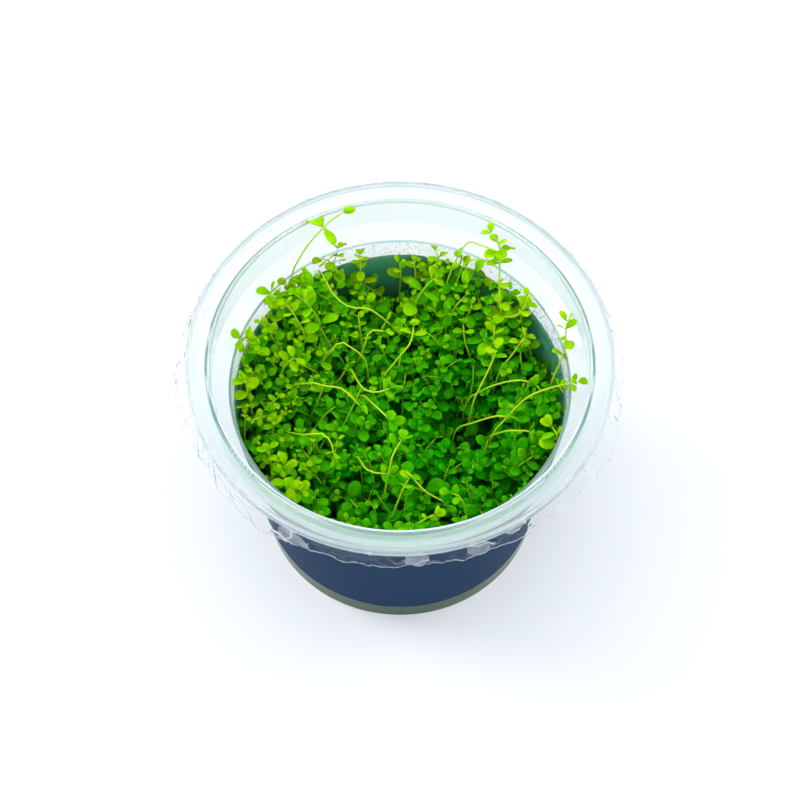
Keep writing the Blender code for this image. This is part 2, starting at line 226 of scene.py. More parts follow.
def finish_with(piece, modifier, **settings):
    """Adds a modifier with its settings and applies it."""
    made = piece.modifiers.new(modifier.title(), modifier)
    for key, value in settings.items():
        setattr(made, key, value)
    bpy.context.view_layer.objects.active = piece
    bpy.ops.object.modifier_apply(modifier=made.name)


def smooth(piece, degrees):
    """Shades the piece smooth, but for edges sharper than an angle."""
    deselect_all()
    piece.select_set(True)
    bpy.context.view_layer.objects.active = piece
    bpy.ops.object.shade_smooth_by_angle(angle=math.radians(degrees))


def place(piece, slot, *nodes):
    """The piece moves with the cup and stands for the nodes; its slot is not used."""
    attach(piece, BODY)
    if nodes:
        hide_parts(*nodes)


def add_node(tree, kind, inputs=None, **settings):
    """Adds a node, sets its properties, and fills or links its inputs by name."""
    node = tree.nodes.new(kind)
    for key, value in settings.items():
        setattr(node, key, value)
    for name, value in (inputs or {}).items():
        if isinstance(value, bpy.types.NodeSocket):
            tree.links.new(value, node.inputs[name])
        else:
            node.inputs[name].default_value = value
    return node


def new_material(name):
    """A material with an empty tree but for its output, and that tree."""
    made = bpy.data.materials.new(name)
    made.use_nodes = True
    tree = made.node_tree
    tree.nodes.clear()
    add_node(tree, "ShaderNodeOutputMaterial")
    return made, tree


def surface(tree, shader):
    tree.links.new(shader.outputs[0], tree.nodes["Material Output"].inputs["Surface"])


def opaque(rgb):
    return (*rgb, 1.0)


def grain(tree, size, detail=2.0):
    """A pattern whose features are about a size in metres, fixed to the piece, as shares from 0 to 1."""
    where = add_node(tree, "ShaderNodeTexCoord").outputs["Object"]
    pattern = add_node(tree, "ShaderNodeTexNoise", {"Vector": where, "Scale": 1 / size, "Detail": detail})
    return pattern.outputs["Fac"]


def clear_polypropylene(name, rgb, clearness, painted_mint_haze, milk, ior):
    """Injection-moulded polypropylene: clear where it is thin, with a slight milk to it where it is thick, so
    the rim softens what stands behind it. The milk's sheen is tinted mint: painted light standing in for the
    label and the plants seen through the milky rim. Its milky edges show as soft pale lines, so they get a
    lower index than the wall."""
    made, tree = new_material(name)
    relief = add_node(tree, "ShaderNodeBump", {
        "Height": grain(tree, 14 * MM), "Distance": 0.1 * MM, "Strength": 0.15})
    surface(tree, add_node(tree, "ShaderNodeBsdfPrincipled", {
        "Base Color": opaque(rgb),
        "Roughness": 0.04,
        "IOR": ior,
        "Transmission Weight": clearness,
        "Sheen Weight": milk,
        "Sheen Roughness": 1.0,
        "Sheen Tint": opaque(painted_mint_haze),
        "Normal": relief.outputs["Normal"],
    }))
    return made


def printed_label_film(name, rgb, roughness):
    """Gravure-printed polypropylene label film: an even, dark ink under a soft satin gloss."""
    made, tree = new_material(name)
    blotch = grain(tree, 6 * MM)
    depth = add_node(tree, "ShaderNodeMapRange", {"Value": blotch, "To Min": 0.9, "To Max": 1.1})
    tone = add_node(tree, "ShaderNodeHueSaturation", {"Color": opaque(rgb), "Value": depth.outputs["Result"]})
    relief = add_node(tree, "ShaderNodeBump", {"Height": blotch, "Distance": 0.05 * MM, "Strength": 0.3})
    surface(tree, add_node(tree, "ShaderNodeBsdfPrincipled", {
        "Base Color": tone.outputs["Color"],
        "Roughness": roughness,
        "IOR": 1.5,
        "Specular IOR Level": 0.04,
        "Normal": relief.outputs["Normal"],
    }))
    return made


def agar_gel(rgb):
    """Agar gel: mostly water, cloudy and soft, so light spreads inside it."""
    made, tree = new_material("agar_gel")
    cloud = grain(tree, 7 * MM, detail=3.0)
    depth = add_node(tree, "ShaderNodeMapRange", {"Value": cloud, "To Min": 0.75, "To Max": 1.2})
    tint = add_node(tree, "ShaderNodeHueSaturation", {"Color": opaque(rgb), "Value": depth.outputs["Result"]})
    relief = add_node(tree, "ShaderNodeBump", {"Height": cloud, "Distance": 0.4 * MM, "Strength": 0.3})
    surface(tree, add_node(tree, "ShaderNodeBsdfPrincipled", {
        "Base Color": tint.outputs["Color"],
        "Roughness": 0.22,
        "IOR": 1.34,
        "Specular IOR Level": 0.2,
        "Transmission Weight": 0.25,
        "Normal": relief.outputs["Normal"],
    }))
    return made


def sealing_film(name, rgb, clearness, roughness, ior):
    """Peelable laminate film: clear and glossy where it hangs free, whitened where it is welded and along its
    torn edge, where it was stretched. It is so thin that it hardly bends light, so its index is low."""
    made, tree = new_material(name)
    relief = add_node(tree, "ShaderNodeBump", {
        "Height": grain(tree, 4 * MM), "Distance": 0.08 * MM, "Strength": 0.2})
    surface(tree, add_node(tree, "ShaderNodeBsdfPrincipled", {
        "Base Color": opaque(rgb),
        "Roughness": roughness,
        "IOR": ior,
        "Transmission Weight": clearness,
        "Normal": relief.outputs["Normal"],
    }))
    return made


def water():
    """Water condensed on the wall: clear, mirror-smooth drops."""
    made, tree = new_material("condensed_water")
    surface(tree, add_node(tree, "ShaderNodeBsdfPrincipled", {
        "Base Color": (1, 1, 1, 1), "Roughness": 0.0, "IOR": 1.333, "Transmission Weight": 1.0}))
    return made


# Ages, from 0 to 1, at which a leaf has its young and its grown colour
YOUNG_AGE = 0.18
GROWN_AGE = 0.42


def living_leaf(plant):
    """A living leaf: thin, soft tissue, yellow-green when young and deeper with age, under a waxy skin with
    a satin gloss. Its age also carries painted shade deep in the carpet and round its heart, and painted light
    far from the heart. The midrib is a little paler, and the base a little deeper than the tip."""
    made, tree = new_material("living_leaf")
    age = add_node(tree, "ShaderNodeAttribute", attribute_name="age").outputs["Fac"]
    blade = add_node(tree, "ShaderNodeUVMap", uv_map="blade").outputs["UV"]
    parts = add_node(tree, "ShaderNodeSeparateXYZ", {"Vector": blade})
    across, along = parts.outputs["X"], parts.outputs["Y"]
    ramp = add_node(tree, "ShaderNodeValToRGB", {"Fac": age})
    stops = ramp.color_ramp.elements
    stops[0].color = opaque(plant.fresh)
    stops[1].color = opaque(plant.old)
    stops.new(YOUNG_AGE).color = opaque(plant.young)
    stops.new(GROWN_AGE).color = opaque(plant.grown)
    off_rib = add_node(tree, "ShaderNodeMath", {0: across, 1: 0.5}, operation="SUBTRACT").outputs[0]
    distance = add_node(tree, "ShaderNodeMath", {0: off_rib}, operation="ABSOLUTE").outputs[0]
    rib = add_node(tree, "ShaderNodeMapRange", {
        "Value": distance, "From Min": 0.02, "From Max": 0.1, "To Min": 0.1, "To Max": 0.0}).outputs["Result"]
    mottle = add_node(tree, "ShaderNodeMapRange", {
        "Value": grain(tree, 1.2 * MM), "To Min": 0.8, "To Max": 1.2}).outputs["Result"]
    fade = add_node(tree, "ShaderNodeMapRange", {
        "Value": along, "To Min": 0.8, "To Max": 1.16}).outputs["Result"]
    tone = add_node(tree, "ShaderNodeMath", {0: mottle, 1: fade}, operation="MULTIPLY").outputs[0]
    ribbed = add_node(tree, "ShaderNodeMix", {0: rib, 6: ramp.outputs["Color"], 7: opaque(plant.young)},
                      data_type="RGBA")
    tissue = add_node(tree, "ShaderNodeHueSaturation", {"Color": ribbed.outputs[2], "Value": tone})
    relief = add_node(tree, "ShaderNodeBump", {"Height": rib, "Distance": 0.06 * MM, "Strength": 0.5})
    surface(tree, add_node(tree, "ShaderNodeBsdfPrincipled", {
        "Base Color": tissue.outputs["Color"],
        "Roughness": 0.6,
        "IOR": 1.42,
        "Specular IOR Level": 0.03,
        "Subsurface Weight": 0.8,
        "Subsurface Radius": (0.6, 1.0, 0.1),
        "Subsurface Scale": 1.0 * MM,
        "Normal": relief.outputs["Normal"],
    }))
    return made


def stem_skin(plant):
    """A young stem: juicy, pale yellow-green, greener low down."""
    made, tree = new_material("stem_skin")
    age = add_node(tree, "ShaderNodeAttribute", attribute_name="age").outputs["Fac"]
    tone = add_node(tree, "ShaderNodeMix", {0: age, 6: opaque(plant.stems), 7: opaque(plant.grown)},
                    data_type="RGBA")
    surface(tree, add_node(tree, "ShaderNodeBsdfPrincipled", {
        "Base Color": tone.outputs[2],
        "Roughness": 0.4,
        "IOR": 1.42,
        "Specular IOR Level": 0.3,
        "Subsurface Weight": 0.4,
        "Subsurface Radius": (0.8, 1.0, 0.3),
        "Subsurface Scale": 0.5 * MM,
    }))
    return made


def light_table(rgb, glow):
    """Opal acrylic lit from below: matt and almost white, so that shadows on it stay faint."""
    made, tree = new_material("light_table")
    surface(tree, add_node(tree, "ShaderNodeBsdfPrincipled", {
        "Base Color": opaque(rgb), "Roughness": 0.9, "Specular IOR Level": 0.1,
        "Emission Color": opaque(rgb), "Emission Strength": glow}))
    return made


class CARPET_OT_cup(Operator):
    """Model the clear stepped cup"""

    bl_idname = "carpet.cup"
    bl_label = "Cup"

    def execute(self, context):
        cup = cup_settings()
        top = CUP_HIGH.z
        rim = CUP_HIGH.x
        profile = (
            (cup.floor_radius + 0.5 * MM, 0),
            (cup.floor_radius + 1.1 * MM, 0.5 * MM),
            (cup.floor_radius + cup.wall + 0.1 * MM, cup.floor_height + 0.6 * MM),
            (wall_outside(LABEL_HIGH.z), LABEL_HIGH.z),
            (wall_outside(cup.ledge_height - 0.6 * MM), cup.ledge_height - 0.6 * MM),
            (cup.collar_radius + cup.wall, cup.shoulder_height - 0.6 * MM),
            (cup.collar_radius + cup.wall + 0.2 * MM, top - cup.flange),
            (rim - 0.7 * MM, top - cup.flange),
            (rim - 0.6 * MM, top - cup.lip),
            (rim, top - cup.lip),
            (rim, top),
            (rim - 0.9 * MM, top),
            (cup.collar_radius + 0.6 * MM, top),
            (cup.mouth_radius + 0.1 * MM, top - 0.25 * MM),
            (cup.mouth_radius, top - MOUTH_ROUND),
            (cup.collar_radius, cup.shoulder_height),
            (cup.ledge_radius, cup.ledge_height),
            (wall_inside(LABEL_HIGH.z), LABEL_HIGH.z),
            (cup.floor_radius, cup.floor_height),
            (cup.floor_radius - 1.2 * MM, cup.floor),
        )
        piece = turned_piece("cup_body", profile, CUP_SEGMENTS)
        finish_with(piece, "BEVEL", width=0.22 * MM, segments=3, limit_method="ANGLE",
                    angle_limit=math.radians(12))
        smooth(piece, 40)
        for name, tint, clearness, milk, ior in (
                ("clear_polypropylene", cup.plastic, 0.98, 0.0, 1.4),
                ("rim_polypropylene", cup.rim_plastic, 0.9, 0.15, 1.42),
                ("lip_polypropylene", cup.edge_plastic, 0.7, 0.1, 1.12),
                ("ledge_polypropylene", cup.ledge_plastic, 0.6, 0.1, 1.49),
                ("mouth_polypropylene", cup.edge_plastic, 0.45, 0.25, 1.12)):
            piece.data.materials.append(clear_polypropylene(name, tint, clearness, cup.painted_mint_haze, milk, ior))
        for face in piece.data.polygons:
            face.material_index = self.finish_at(face.center, cup, top, rim)
        place(piece, "clear_plastic", "cup")
        return {"FINISHED"}

    def finish_at(self, spot, cup, top, rim):
        """Slot of a face: the clear wall, the milkier rim, the pale lip and foot, the ledge, or the mouth's
        milky edge."""
        radius = math.hypot(spot.x, spot.y)
        if spot.z > top - 1.0 * MM and radius < cup.collar_radius + 0.25 * MM:
            return MOUTH
        if radius > rim - 0.8 * MM or (spot.z < 1.0 * MM and radius > cup.floor_radius):
            return LIP
        if abs(spot.z - cup.ledge_height + 0.3 * MM) < 0.8 * MM and radius < cup.ledge_radius + 1.4 * MM:
            return LEDGE
        return RIM if spot.z > LABEL_HIGH.z else WALL


class CARPET_OT_label(Operator):
    """Model the wrap-round label, bare of print, with its ends lapped at the back"""

    bl_idname = "carpet.label"
    bl_label = "Label"

    def execute(self, context):
        low, high = LABEL_LOW.z, LABEL_HIGH.z
        gap, thick, lap = 0.12 * MM, 0.16 * MM, math.radians(9)
        deselect_all()
        bpy.ops.mesh.primitive_plane_add(size=1.0, location=(0, 0, 0))
        piece = context.object
        piece.name = piece.data.name = "label_wrap"
        corners = ((wall_outside(low) + gap, low), (wall_outside(low) + gap + thick, low),
                   (wall_outside(high) + gap, high), (wall_outside(high) + gap + thick, high))
        for vertex, (radius, height) in zip(piece.data.vertices, corners):
            vertex.co = (0, radius, height)
        bpy.ops.object.mode_set(mode="EDIT")
        bpy.ops.mesh.select_all(action="SELECT")
        bpy.ops.mesh.spin(steps=LABEL_STEPS, angle=math.tau + lap, center=(0, 0, 0), axis=(0, 0, 1))
        bpy.ops.mesh.select_all(action="SELECT")
        bpy.ops.mesh.normals_make_consistent(inside=False)
        bpy.ops.object.mode_set(mode="OBJECT")
        self.lift_lap(piece.data, thick + 0.06 * MM, lap)
        smooth(piece, 30)
        cup = cup_settings()
        piece.data.materials.append(printed_label_film("label_outside", cup.label_outside, 0.5))
        piece.data.materials.append(printed_label_film("label_inside", cup.label_inside, 0.6))
        for face in piece.data.polygons:
            faces_in = face.normal.x * face.center.x + face.normal.y * face.center.y < 0
            face.material_index = INSIDE if faces_in else OUTSIDE
        place(piece, "label_film", "label")
        return {"FINISHED"}

    def lift_lap(self, mesh, lift, lap):
        """The end of the wrap climbs over its start. The mesh keeps the order in which the spin made it, four
        corners at each step."""
        last = len(mesh.vertices) // 4 - 1
        for vertex in mesh.vertices:
            share = vertex.index // 4 / last * (math.tau + lap) - (math.tau - lap)
            if share > 0:
                climb = lift * min(1.0, share / (0.8 * lap))
                out = Vector((vertex.co.x, vertex.co.y, 0)).normalized()
                vertex.co += out * climb


class CARPET_OT_gel(Operator):
    """Model the disc of culture gel"""

    bl_idname = "carpet.gel"
    bl_label = "Gel"

    def execute(self, context):
        cup = cup_settings()
        top = GEL_HIGH.z
        edge = wall_inside(top) + 0.15 * MM
        profile = [
            (cup.floor_radius + 0.2 * MM, cup.floor - 0.4 * MM),
            (cup.floor_radius + 0.3 * MM, cup.floor),
            (edge, top),
            (edge - 1.2 * MM, top - 0.8 * MM),
            (edge * 0.5, top - 0.9 * MM),
        ]
        piece = turned_piece("gel_disc", profile, GEL_SEGMENTS)
        smooth(piece, 40)
        piece.data.materials.append(agar_gel(cup.gel))
        place(piece, "gel", "culture_gel")
        return {"FINISHED"}


def droplet_shape():
    """One drop, one unit in radius: a flattened half sphere, its back at the origin, its crown along +Z."""
    deselect_all()
    bpy.ops.mesh.primitive_uv_sphere_add(segments=6, ring_count=4, radius=1.0)
    drop = bpy.context.object
    bpy.ops.object.mode_set(mode="EDIT")
    bpy.ops.mesh.select_all(action="SELECT")
    bpy.ops.mesh.bisect(plane_co=(0, 0, -0.01), plane_no=(0, 0, 1), clear_inner=True, use_fill=True)
    bpy.ops.mesh.select_all(action="SELECT")
    bpy.ops.transform.resize(value=(1, 1, 0.4), center_override=(0, 0, 0))
    bpy.ops.object.mode_set(mode="OBJECT")
    shape = drop.data
    bpy.data.objects.remove(drop)
    return shape


class CARPET_OT_condensation(Operator):
    """Scatter drops of condensation over the clear wall above the label"""

    bl_idname = "carpet.condensation"
    bl_label = "Condensation"

    def execute(self, context):
        cup = cup_settings()
        chance = random.Random(DROP_SEED)
        shape = droplet_shape()
        corners = np.array([vertex.co for vertex in shape.vertices])
        faces = [tuple(face.vertices) for face in shape.polygons]
        spots, rims = [], []
        low, high = LABEL_HIGH.z - 1.5 * MM, cup.ledge_height - 0.3 * MM
        for n in range(cup.droplets):
            turn = chance.gauss(math.radians(DROPS_MIDDLE), math.radians(DROPS_SPREAD))
            height = low + (high - low) * chance.random() ** 1.4
            size = 0.07 * MM + 0.2 * MM * chance.random() ** 3
            slope = (cup.ledge_radius - cup.floor_radius) / (cup.ledge_height - cup.floor_height)
            inward = Vector((-math.cos(turn), -math.sin(turn), slope)).normalized()
            stand = wall_inside(height) - 0.01 * MM
            where = Vector((stand * math.cos(turn), stand * math.sin(turn), height))
            frame_turn = inward.to_track_quat("Z", "Y").to_matrix()
            spots.append(corners @ np.array(frame_turn).T * size + np.array(where))
            rims += [tuple(corner + n * len(corners) for corner in face) for face in faces]
        mesh = bpy.data.meshes.new("wall_droplets")
        mesh.from_pydata(np.concatenate(spots).tolist(), [], rims)
        mesh.shade_smooth()
        piece = bpy.data.objects.new("wall_droplets", mesh)
        context.scene.collection.objects.link(piece)
        mesh.materials.append(water())
        place(piece, "clear_plastic")
        return {"FINISHED"}


def ridge(spot):
    """A fold line where the noise crosses zero, from 0 beside it to 1 on it."""
    return 1 - min(1.0, 4.5 * abs(noise.noise(spot))) ** 0.8


class CARPET_OT_film(Operator):
    """Model the clear film that stays welded to the flange, with its torn, crumpled skirt"""

    bl_idname = "carpet.film"
    bl_label = "Film"

    def execute(self, context):
        film = context.scene.carpet_film
        top = CUP_HIGH.z + 0.1 * MM
        rim = CUP_HIGH.x + 0.15 * MM
        profile = [(film.weld_radius, top), (film.weld_radius + 1.4 * MM, top), (rim - 0.1 * MM, top)]
        profile += [(rim, top - film.drop * n / FILM_ROWS) for n in range(1, FILM_ROWS + 1)]
        profile += [(rim, top - film.drop - 0.25 * MM)]
        piece = turned_piece("torn_film", profile, FILM_SEGMENTS, capped=False)
        for vertex in piece.data.vertices:
            vertex.co = self.creased(vertex.co, film, top, rim)
        piece.data.materials.append(sealing_film("clear_film", film.tint, 1.0, 0.05, 1.08))
        piece.data.materials.append(sealing_film("whitened_film", film.weld_and_glint_tint, 0.89, 0.12, 1.18))
        # Painted glints: whitened film on the fold crests, where the crumples catch the light
        piece.data.materials.append(sealing_film("painted_glint_film", film.weld_and_glint_tint, 0.64, 0.14, 1.25))
        rows = len(profile) - 1
        # Fold crests take the painted glints; random patches, the weld and the torn hem take the whitened film
        for face in piece.data.polygons:
            row = min(vertex // FILM_SEGMENTS for vertex in face.vertices)
            around = Vector((face.center.x, face.center.y, 0)).normalized()
            fold = ridge(around * 6.0 + Vector((2, 5, face.center.z * 150)))
            slack = noise.noise(around * 7.0 + Vector((8, 0, face.center.z * 120)))
            if fold > 0.8 and slack > 0.15 and 1 < row < rows - 1:
                face.material_index = PAINTED_GLINT
            elif slack > 0.22 or row < 2 or row == rows - 1:
                face.material_index = WHITENED
            else:
                face.material_index = CLEAR
        finish_with(piece, "SOLIDIFY", thickness=film.thickness, offset=1.0)
        smooth(piece, 60)
        place(piece, "seal_film", "seal_film")
        return {"FINISHED"}

    def creased(self, spot, film, top, rim):
        """Where a point of the sheet goes once the film is torn, flared and crumpled."""
        turn = math.atan2(spot.y, spot.x)
        radius = math.hypot(spot.x, spot.y)
        around = Vector((math.cos(turn), math.sin(turn), 0))
        hanging = max(0.0, (top - spot.z) / film.drop)
        if hanging == 0.0:
            ragged = noise.noise(around * 5 + Vector((0, 0, 3))) * 0.35 * MM
            share = max(0.0, (rim - radius) / (rim - film.weld_radius))
            return around * (radius + ragged * share) + Vector((0, 0, spot.z))
        back = max(0.0, math.sin(turn))
        front_left = max(0.0, math.cos(turn + math.radians(125))) ** 6
        tear = 1.05 + 0.4 * noise.noise(around * 4.0) + 0.3 * noise.noise(around * 11.0 + Vector((4, 0, 0)))
        tear += 0.4 * front_left
        drop = film.drop * hanging * max(0.3, tear) * (1 - 0.75 * back)
        side = abs(math.cos(turn + 0.15))
        flare = (0.2 + 2.5 * side ** 2) * (1 + 0.7 * noise.noise(around * 3.0 + Vector((0, 7, 0)))) * MM
        flare *= 1 - 0.95 * math.sqrt(back)
        where = around * 12.0 + Vector((0, 0, spot.z * 120))
        crease = film.crumple * min(1.0, 1.5 * hanging) * (ridge(where) + 0.5 * ridge(where * 2.3) - 0.5)
        return around * (rim + flare * hanging + crease) + Vector((0, 0, top - drop + crease * 0.3))


class Growth:
    """The stems and leaves of one plantlet, gathered before they are joined in one mesh."""

    def __init__(self):
        self.leaves = []
        self.stems = []


def leaf_blade():
    """One flat round leaf, one unit long, wide and thick, with its base at the origin: a grid made round,
    narrowed to its base and given its thickness."""
    deselect_all()
    bpy.ops.mesh.primitive_grid_add(x_subdivisions=4, y_subdivisions=4, size=1.0, location=(0, 0.5, 0))
    leaf = bpy.context.object
    bpy.ops.object.transform_apply(location=True, rotation=True, scale=True)
    for vertex in leaf.data.vertices:
        u, v = 2 * vertex.co.x, 2 * vertex.co.y - 1
        x = u * math.sqrt(1 - v * v / 2) / 2
        y = (v * math.sqrt(1 - u * u / 2) + 1) / 2
        vertex.co = (x * min(1.0, 0.35 + 2.2 * y), y, 0)
    finish_with(leaf, "SOLIDIFY", thickness=1.0, offset=0.0)
    shape = leaf.data
    bpy.data.objects.remove(leaf)
    return shape


# Steps in which a curve is measured between two of the points that it goes through
CURVE_STEPS = 12


def curve_through(points, spacing):
    """Evenly spaced points on a smooth curve through a few points."""
    control = [points[0] * 2 - points[1]] + list(points) + [points[-1] * 2 - points[-2]]
    fine = []
    for a, b, c, d in zip(control, control[1:], control[2:], control[3:]):
        for n in range(CURVE_STEPS):
            t = n / CURVE_STEPS
            fine.append(0.5 * (2 * b + (c - a) * t + (2 * a - 5 * b + 4 * c - d) * t * t
                               + (3 * b - a - 3 * c + d) * t ** 3))
    fine.append(control[-2])
    run = [0.0]
    for first, second in zip(fine, fine[1:]):
        run.append(run[-1] + (second - first).length)
    count = max(2, round(run[-1] / spacing) + 1)
    marks = np.linspace(0, run[-1], count)
    table = np.array([tuple(point) for point in fine])
    return [Vector(spot) for spot in np.column_stack([np.interp(marks, run, table[:, k]) for k in range(3)])]


# From the tip down: the gap in millimetres above each pair of leaves, and how far the pair is grown
TIERS = ((0.4, 0.45), (1.6, 0.72), (2.9, 0.92), (4.2, 1.0), (5.0, 1.0), (5.4, 1.0), (6.0, 0.95), (6.0, 0.9))
RUNNER_TIERS = ((0.2, 0.1), (7.6, 1.15))
STACK_TIERS = ((0.3, 0.55), (2.6, 0.7), (4.2, 0.95), (2.2, 0.8), (4.6, 1.1), (4.4, 1.0), (4.5, 0.9))


def grow_shoot(growth, points, plant, chance, vigour, age, reach=32 * MM, leggy=1.0, stem=1.0, least=0.0,
               tiers=TIERS):
    """A shoot along a path, with pairs of leaves that cross each other, small at the tip and full-grown
    below. None stand further down than the reach, and none is smaller than the least share of a grown one."""
    path = curve_through(points, 1.0 * MM)
    growth.stems.append((path, plant.stem * stem * vigour ** 0.5, age))
    below = 0.0
    turn = chance.uniform(0, math.pi)
    for gap, grown in tiers:
        below += gap * leggy * chance.uniform(0.8, 1.25) * MM
        node = len(path) - 1 - round(below / MM)
        if node < 1 or below > reach:
            break
        along = (path[node] - path[node - 1]).normalized()
        across = along.orthogonal().normalized()
        across.rotate(Matrix.Rotation(turn, 3, along))
        lift = math.radians(60 * (1 - grown) + chance.uniform(-14, 24))
        pair = vigour * max(least, grown) * chance.uniform(0.8, 1.15)
        # The pair's colour takes painted shade and light for its place on top of its own age
        pair_age_and_shade = age + 0.3 * grown + shade(path[node], plant)
        for sign in (1, -1):
            add_leaf(growth, path[node], along, across * sign, lift, pair, pair_age_and_shade, plant, chance)
        turn += math.pi / 2 + chance.uniform(-0.3, 0.3)


def add_leaf(growth, base, along, across, lift, size, age, plant, chance):
    """One leaf, lifted from the side of its stem and never quite like another. It turns a little towards the
    light, and the more so the flatter its stem lies."""
    lying = 1 - abs(along.z)
    direction = across * math.cos(lift) + along * math.sin(lift)
    direction.z *= 1 - 0.7 * lying
    direction = (direction + Vector([chance.gauss(0, 0.13) for _ in range(3)])).normalized()
    normal = along * math.cos(lift) - across * math.sin(lift)
    normal = normal + Vector((0, 0, 0.45 + 1.5 * lying)) + Vector([chance.gauss(0, 0.2) for _ in range(3)])
    side = direction.cross(normal).normalized()
    growth.leaves.append((
        base + direction * plant.stem * 0.6,
        np.array([side, direction, side.cross(direction)]),
        np.array([plant.leaf_width * size * chance.uniform(0.8, 1.08), plant.leaf_length * size,
                  plant.leaf_thickness]),
        chance.uniform(0.1, 0.65),
        chance.uniform(0.1, 0.75),
        chance.uniform(-0.1, 0.45),
        age + chance.gauss(0, 0.1),
    ))


# Where the carpet dips, or rises where the depth is negative: middle, depth and width in millimetres
DIPS = (((17.2, -1.2), 15, 7.5), ((-3, 37), 9, 6), ((-37, -9), -4, 6), ((-30, -24), -2, 5), ((38, 17), 8, 5),
        ((9, -20), 7, 4), ((-21, -2), 5, 4), ((-14, -24), 8, 4), ((24, -20), 6, 4), ((-23, 29), -11, 9),
        ((13, 34), -9, 6), ((23, 27), -6, 8), ((-36, 11), -9, 7), ((-33, 20), -6, 6), ((34, -4), -4, 7),
        ((-25, -28), -2, 6))
# The carpet's heart, where painted shade is deepest, and the reach of its fade to painted light, in
# millimetres
HEART = (10, -12)
HEART_REACH = 40
# How much painted shade, as colour age, the heart adds over its reach, and the share of the reach where it
# turns to painted light
HEART_PAINTED_SHADE = 0.6
HEART_EDGE = 0.67
# How much painted shade, as colour age, darkens leaves deep in the carpet, and how deep in it that shade is
# full
SHADE_AGE = 0.75
SHADE_DEPTH = 12 * MM
# Radius of the carpet, and how many places are tried for a shoot's tip
CARPET_RADIUS = 38 * MM
SHOOT_TRIES = 9000


def dip(spot):
    """Depth of the carpet's dips at a place in metres, in millimetres; negative where it rises."""
    return sum(depth * math.exp(-((spot / MM - Vector(middle)).length / width) ** 2)
               for middle, depth, width in DIPS)


def canopy(x, y, plant):
    """Height of the carpet's top at a place: a little higher round the edge and at the back, with a few
    darker dips."""
    spot = Vector((x, y))
    swell = 2.2 * (spot.length / CARPET_RADIUS) ** 2 + 2.6 * noise.noise(Vector((x, y, 0)) / (8 * MM))
    return plant.canopy + (swell + 1.5 * y / CARPET_RADIUS - dip(spot)) * MM


def shade(spot, plant):
    """Painted shade and light, given as age added to a leaf's colour for its place: painted shade deep in the
    carpet and round its heart, and painted light, less than nothing, far from the heart."""
    depth = canopy(spot.x, spot.y, plant) - spot.z
    outward = (spot.xy / MM - Vector(HEART)).length / HEART_REACH
    return SHADE_AGE * min(1.0, max(0.0, depth / SHADE_DEPTH)) + HEART_PAINTED_SHADE * (HEART_EDGE - outward)


def shoot_spots(plant, chance):
    """Places for the shoots' tips, none closer than the spacing, and sparser in the dips."""
    widest = cup_settings().ledge_radius
    spots = []
    for _ in range(SHOOT_TRIES):
        spot = Vector((chance.uniform(-widest, widest), chance.uniform(-widest, widest)))
        reach = wall_inside(min(canopy(spot.x, spot.y, plant), cup_settings().ledge_height)) - 1.2 * MM
        outward = (spot / MM - Vector(HEART)).length / HEART_REACH
        apart = plant.spacing * (1 + 0.09 * max(0.0, dip(spot))) * (1.08 - 0.15 * outward)
        if spot.length < reach and all((spot - other).length > apart for other in spots):
            spots.append(spot)
    return spots


def plantlet_centres():
    """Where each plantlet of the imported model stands, from the lower points of its solid."""
    centres = []
    for name in PLANTLETS:
        corners = [vertex.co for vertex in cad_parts[name].data.vertices]
        low = [corner for corner in corners if corner.z < GEL_HIGH.z + 1 * MM]
        centres.append(sum((Vector(co[:2]) for co in low), Vector((0, 0))) / len(low))
    return centres


def shaped_leaf(blade, leaf):
    """The corners of one leaf: the flat blade narrowed to its base, cupped, bent and set on its stem."""
    base, axes, size, taper, cup, bend, _ = leaf
    x, y = blade[:, 0] * (1 - taper * (1 - blade[:, 1]) ** 1.5), blade[:, 1]
    rise = cup * (0.7 * x * x + 0.12 * np.abs(x)) - bend * y * y * 0.5
    local = np.column_stack([x * size[0], y * size[1], blade[:, 2] * size[2] + rise * size[1]])
    return local @ axes + np.array(base)


def tube_round(points, radius):
    """Corners and faces of a thin stem, pointed at both ends."""
    sides = STEM_SIDES
    thin = points[::2] + ([points[-1]] if len(points) % 2 == 0 else [])
    side = (thin[1] - thin[0]).orthogonal().normalized()
    rings = []
    for n, point in enumerate(thin):
        along = (thin[min(n + 1, len(thin) - 1)] - thin[max(n - 1, 0)]).normalized()
        side = (side - along * side.dot(along)).normalized()
        other = along.cross(side)
        wide = radius * (0.3 if n in (0, len(thin) - 1) else 1.0)
        for k in range(sides):
            turn = math.tau * k / sides
            rings.append(point + (side * math.cos(turn) + other * math.sin(turn)) * wide)
    skin = []
    for low in range(0, len(rings) - sides, sides):
        for k in range(sides):
            after = (k + 1) % sides
            skin.append((low + k, low + after, low + sides + after, low + sides + k))
    ends = [tuple(range(sides))[::-1], tuple(range(len(rings) - sides, len(rings)))]
    return np.array([tuple(corner) for corner in rings]), skin + ends


# How far down a stem it is as green as a grown leaf, and what growth keeps clear of the wall and of the gel
STEM_FADE = 25 * MM
WALL_GAP = 0.12 * MM
GEL_GAP = 0.2 * MM


